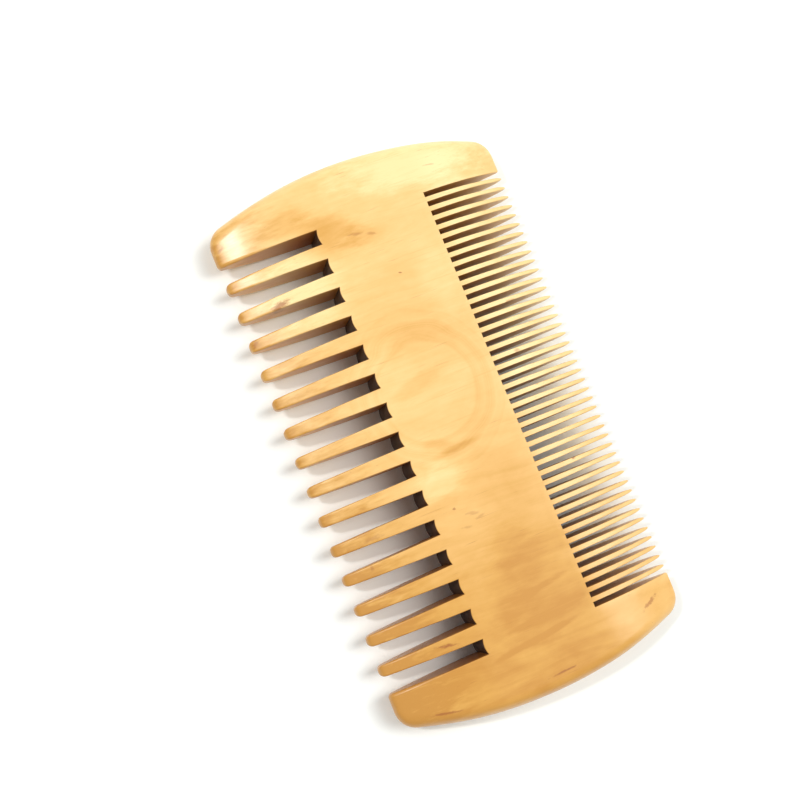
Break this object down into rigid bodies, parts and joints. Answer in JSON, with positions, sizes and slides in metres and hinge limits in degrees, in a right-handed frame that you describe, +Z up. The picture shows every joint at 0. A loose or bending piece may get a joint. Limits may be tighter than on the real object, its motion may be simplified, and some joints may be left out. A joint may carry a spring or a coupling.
{
  "type": "beard comb",
  "caption": "Double-sided wooden beard comb: a flat back with wide teeth along one side, fine teeth along the other and a thick rounded guard at each end.",
  "frame": {"origin": "centre of the bounding box's underside, with the comb lying flat", "axes": "+X across the comb towards the fine teeth, +Y along its length, +Z up through its thickness"},
  "size_m": [0.0624, 0.115, 0.0105],
  "materials": {
    "comb_wood": "pale honey-coloured wood, guessed to be a fruitwood, sanded smooth with a clear semi-gloss finish"
  },
  "bodies": {
    "root": {"comb_back": "comb_wood", "end_guard_1": "comb_wood", "end_guard_2": "comb_wood", "wide_tooth_01": "comb_wood", "wide_tooth_02": "comb_wood", "wide_tooth_03": "comb_wood", "wide_tooth_04": "comb_wood", "wide_tooth_05": "comb_wood", "wide_tooth_06": "comb_wood", "wide_tooth_07": "comb_wood", "wide_tooth_08": "comb_wood", "wide_tooth_09": "comb_wood", "wide_tooth_10": "comb_wood", "wide_tooth_11": "comb_wood", "wide_tooth_12": "comb_wood", "wide_tooth_13": "comb_wood", "wide_tooth_14": "comb_wood", "fine_tooth_01": "comb_wood", "fine_tooth_02": "comb_wood", "fine_tooth_03": "comb_wood", "fine_tooth_04": "comb_wood", "fine_tooth_05": "comb_wood", "fine_tooth_06": "comb_wood", "fine_tooth_07": "comb_wood", "fine_tooth_08": "comb_wood", "fine_tooth_09": "comb_wood", "fine_tooth_10": "comb_wood", "fine_tooth_11": "comb_wood", "fine_tooth_12": "comb_wood", "fine_tooth_13": "comb_wood", "fine_tooth_14": "comb_wood", "fine_tooth_15": "comb_wood", "fine_tooth_16": "comb_wood", "fine_tooth_17": "comb_wood", "fine_tooth_18": "comb_wood", "fine_tooth_19": "comb_wood", "fine_tooth_20": "comb_wood", "fine_tooth_21": "comb_wood", "fine_tooth_22": "comb_wood", "fine_tooth_23": "comb_wood", "fine_tooth_24": "comb_wood", "fine_tooth_25": "comb_wood", "fine_tooth_26": "comb_wood", "fine_tooth_27": "comb_wood", "fine_tooth_28": "comb_wood", "fine_tooth_29": "comb_wood", "fine_tooth_30": "comb_wood", "fine_tooth_31": "comb_wood", "fine_tooth_32": "comb_wood", "fine_tooth_33": "comb_wood", "fine_tooth_34": "comb_wood", "fine_tooth_35": "comb_wood", "fine_tooth_36": "comb_wood", "fine_tooth_37": "comb_wood", "fine_tooth_38": "comb_wood", "fine_tooth_39": "comb_wood", "fine_tooth_40": "comb_wood", "fine_tooth_41": "comb_wood", "fine_tooth_42": "comb_wood", "fine_tooth_43": "comb_wood"}
  },
  "joints": []
}
